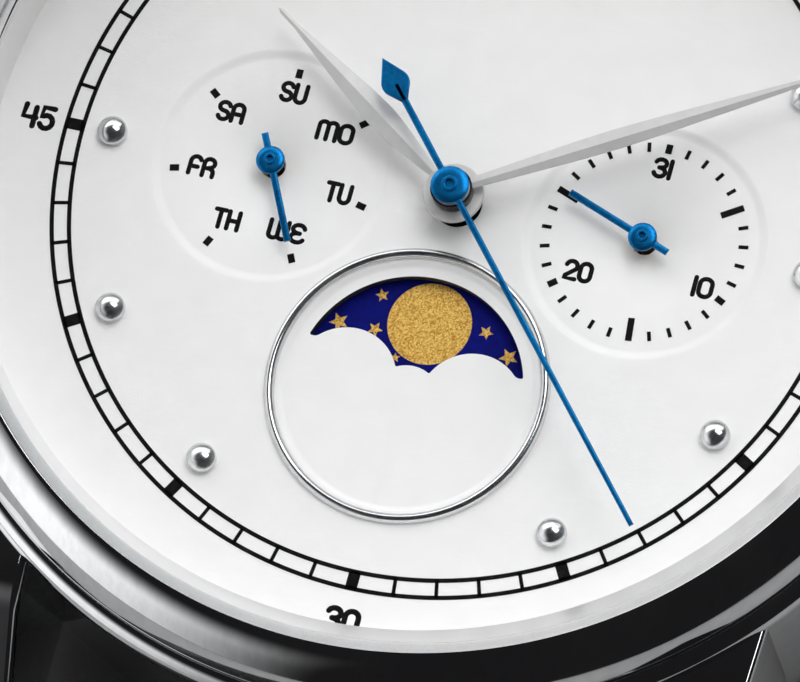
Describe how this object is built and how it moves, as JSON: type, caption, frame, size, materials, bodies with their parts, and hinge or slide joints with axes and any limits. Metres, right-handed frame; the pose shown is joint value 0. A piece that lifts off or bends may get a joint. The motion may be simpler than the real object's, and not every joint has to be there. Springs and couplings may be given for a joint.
{
  "type": "wristwatch",
  "caption": "Round steel wristwatch with day, date and moon-phase displays under a domed bezel, two-piece leather strap and pin buckle; hands, crown, strap and buckle move.",
  "frame": {"origin": "centre of the case back's flat outer face", "axes": "+Z out through the crystal, +Y towards twelve o'clock, +X towards three o'clock and the crown"},
  "size_m": [0.0456, 0.2483, 0.011],
  "materials": {
    "black leather": "matt grain",
    "black rubber": "matt",
    "blued steel": "gloss",
    "board": "satin",
    "brushed steel": "brushed",
    "copper winding": "enamelled",
    "crystal": "clear",
    "gasket": "satin",
    "lining leather": "matt",
    "magnet": "ground",
    "moon blue": "gloss",
    "movement plastic": "satin",
    "plated brass": "satin",
    "polished steel": "polished",
    "silver dial": "fine satin",
    "soft iron": "satin"
  },
  "bodies": {
    "case": {"mid_case": "polished steel", "case_back": "brushed steel", "case_back_gasket": "black rubber", "bezel": "polished steel", "crystal": "crystal", "crystal_gasket": "gasket", "rehaut": "silver dial", "dial": "silver dial", "hour_markers": "polished steel", "moon_ring": "polished steel", "movement_holder": "movement plastic", "crown_tube": "brushed steel", "spring_bars": "brushed steel", "main_plate": "plated brass", "train_bridge": "plated brass", "circuit_board": "board", "chip": "movement plastic", "quartz_can": "polished steel", "coil": "copper winding", "coil_core": "soft iron", "stator": "soft iron", "button_cell": "brushed steel", "cell_clamp": "plated brass", "movement_screws": "polished steel", "calendar_cover": "brushed steel", "calendar_jumpers": "brushed steel"},
    "rotor": {"rotor": "magnet"},
    "middle_wheel": {"middle_wheel": "plated brass"},
    "seconds": {"seconds_wheel": "plated brass", "seconds_hand": "blued steel"},
    "third_wheel": {"third_wheel": "plated brass"},
    "minute": {"center_wheel": "plated brass", "minute_hand": "polished steel"},
    "minute_wheel": {"minute_wheel": "plated brass"},
    "hour": {"hour_wheel": "plated brass", "hour_hand": "polished steel"},
    "day_drive": {"day_drive_wheel": "plated brass"},
    "date_drive": {"date_drive_wheel": "plated brass"},
    "moon_drive": {"moon_drive_wheel": "plated brass"},
    "day": {"day_star": "plated brass", "day_hand": "blued steel"},
    "date": {"date_star": "plated brass", "date_hand": "blued steel"},
    "moon": {"moon_disc": "moon blue"},
    "setting": {"setting_lever": "brushed steel"},
    "crown": {"stem": "brushed steel", "sliding_pinion": "brushed steel", "crown": "polished steel", "crown_gasket": "black rubber"},
    "strap_short": {"short_strap_top": "black leather", "short_strap_lining": "lining leather", "fixed_keeper": "black leather"},
    "free_keeper": {"free_keeper": "black leather"},
    "buckle": {"buckle_frame": "polished steel", "buckle_bar": "brushed steel"},
    "tang": {"buckle_tang": "polished steel"},
    "strap_long": {"long_strap_top": "black leather", "long_strap_lining": "lining leather"}
  },
  "joints": [
    {"name": "seconds_turn", "type": "hinge", "parent": "case", "child": "seconds", "pos_m": [0, 0, 0.0035], "axis": [0, 0, -1], "continuous": true},
    {"name": "rotor_turn", "type": "hinge", "parent": "case", "child": "rotor", "pos_m": [0.0035, -0.00394, 0.0025], "axis": [0, 0, -1], "continuous": true},
    {"name": "middle_wheel_turn", "type": "hinge", "parent": "case", "child": "middle_wheel", "pos_m": [0.00144, -0.00249, 0.0027], "axis": [0, 0, -1], "continuous": true},
    {"name": "third_wheel_turn", "type": "hinge", "parent": "case", "child": "third_wheel", "pos_m": [0, 0.00408, 0.0028], "axis": [0, 0, -1], "continuous": true},
    {"name": "minute_turn", "type": "hinge", "parent": "case", "child": "minute", "pos_m": [0, 0, 0.005], "axis": [0, 0, -1], "continuous": true},
    {"name": "minute_wheel_turn", "type": "hinge", "parent": "case", "child": "minute_wheel", "pos_m": [-0.00187, -0.00187, 0.0049], "axis": [0, 0, -1], "continuous": true},
    {"name": "hour_turn", "type": "hinge", "parent": "case", "child": "hour", "pos_m": [0, 0, 0.006], "axis": [0, 0, -1], "continuous": true},
    {"name": "day_drive_turn", "type": "hinge", "parent": "case", "child": "day_drive", "pos_m": [-0.00305, 0.00305, 0.0053], "axis": [0, 0, -1], "continuous": true},
    {"name": "date_drive_turn", "type": "hinge", "parent": "case", "child": "date_drive", "pos_m": [0.00305, 0.00305, 0.0053], "axis": [0, 0, -1], "continuous": true},
    {"name": "moon_drive_turn", "type": "hinge", "parent": "case", "child": "moon_drive", "pos_m": [0.00305, -0.00305, 0.0053], "axis": [0, 0, -1], "continuous": true},
    {"name": "day_turn", "type": "hinge", "parent": "case", "child": "day", "pos_m": [-0.00724, 0, 0.006], "axis": [0, 0, -1], "continuous": true},
    {"name": "date_turn", "type": "hinge", "parent": "case", "child": "date", "pos_m": [0.00724, 0, 0.006], "axis": [0, 0, -1], "continuous": true},
    {"name": "moon_turn", "type": "hinge", "parent": "case", "child": "moon", "pos_m": [0, -0.00733, 0.0053], "axis": [0, 0, -1], "continuous": true},
    {"name": "crown_pull", "type": "slide", "parent": "case", "child": "setting", "axis": [1, 0, 0], "range_m": [0, 0.001]},
    {"name": "crown_turn", "type": "hinge", "parent": "setting", "child": "crown", "pos_m": [0.021, 0, 0.00405], "axis": [1, 0, 0], "continuous": true},
    {"name": "strap_short_swing", "type": "hinge", "parent": "case", "child": "strap_short", "pos_m": [0, 0.0233, 0.003], "axis": [-1, 0, 0], "range_deg": [-35, 90]},
    {"name": "strap_long_swing", "type": "hinge", "parent": "case", "child": "strap_long", "pos_m": [0, -0.0233, 0.003], "axis": [1, 0, 0], "range_deg": [-35, 90]},
    {"name": "keeper_slide", "type": "slide", "parent": "strap_short", "child": "free_keeper", "axis": [0, 1, 0], "range_m": [-0.007, 0.007]},
    {"name": "buckle_swing", "type": "hinge", "parent": "strap_short", "child": "buckle", "pos_m": [0, 0.0983, 0.0024], "axis": [1, 0, 0], "range_deg": [-60, 45]},
    {"name": "tang_lift", "type": "hinge", "parent": "buckle", "child": "tang", "pos_m": [0, 0.0983, 0.0024], "axis": [1, 0, 0], "range_deg": [0, 80]}
  ],
  "couplings": [
    {"joint": "rotor_turn", "follows": "seconds_turn", "ratio": 30},
    {"joint": "middle_wheel_turn", "follows": "seconds_turn", "ratio": -5},
    {"joint": "third_wheel_turn", "follows": "seconds_turn", "ratio": -0.13333},
    {"joint": "minute_turn", "follows": "seconds_turn", "ratio": 0.016667},
    {"joint": "minute_wheel_turn", "follows": "seconds_turn", "ratio": -0.0055556},
    {"joint": "hour_turn", "follows": "seconds_turn", "ratio": 0.0013889},
    {"joint": "day_drive_turn", "follows": "seconds_turn", "ratio": -0.00069444},
    {"joint": "date_drive_turn", "follows": "seconds_turn", "ratio": -0.00069444},
    {"joint": "moon_drive_turn", "follows": "seconds_turn", "ratio": -0.00069444},
    {"joint": "day_turn", "follows": "seconds_turn", "ratio": 0.000099206},
    {"joint": "date_turn", "follows": "seconds_turn", "ratio": 0.000022401},
    {"joint": "moon_turn", "follows": "seconds_turn", "ratio": 0.00001177}
  ]
}
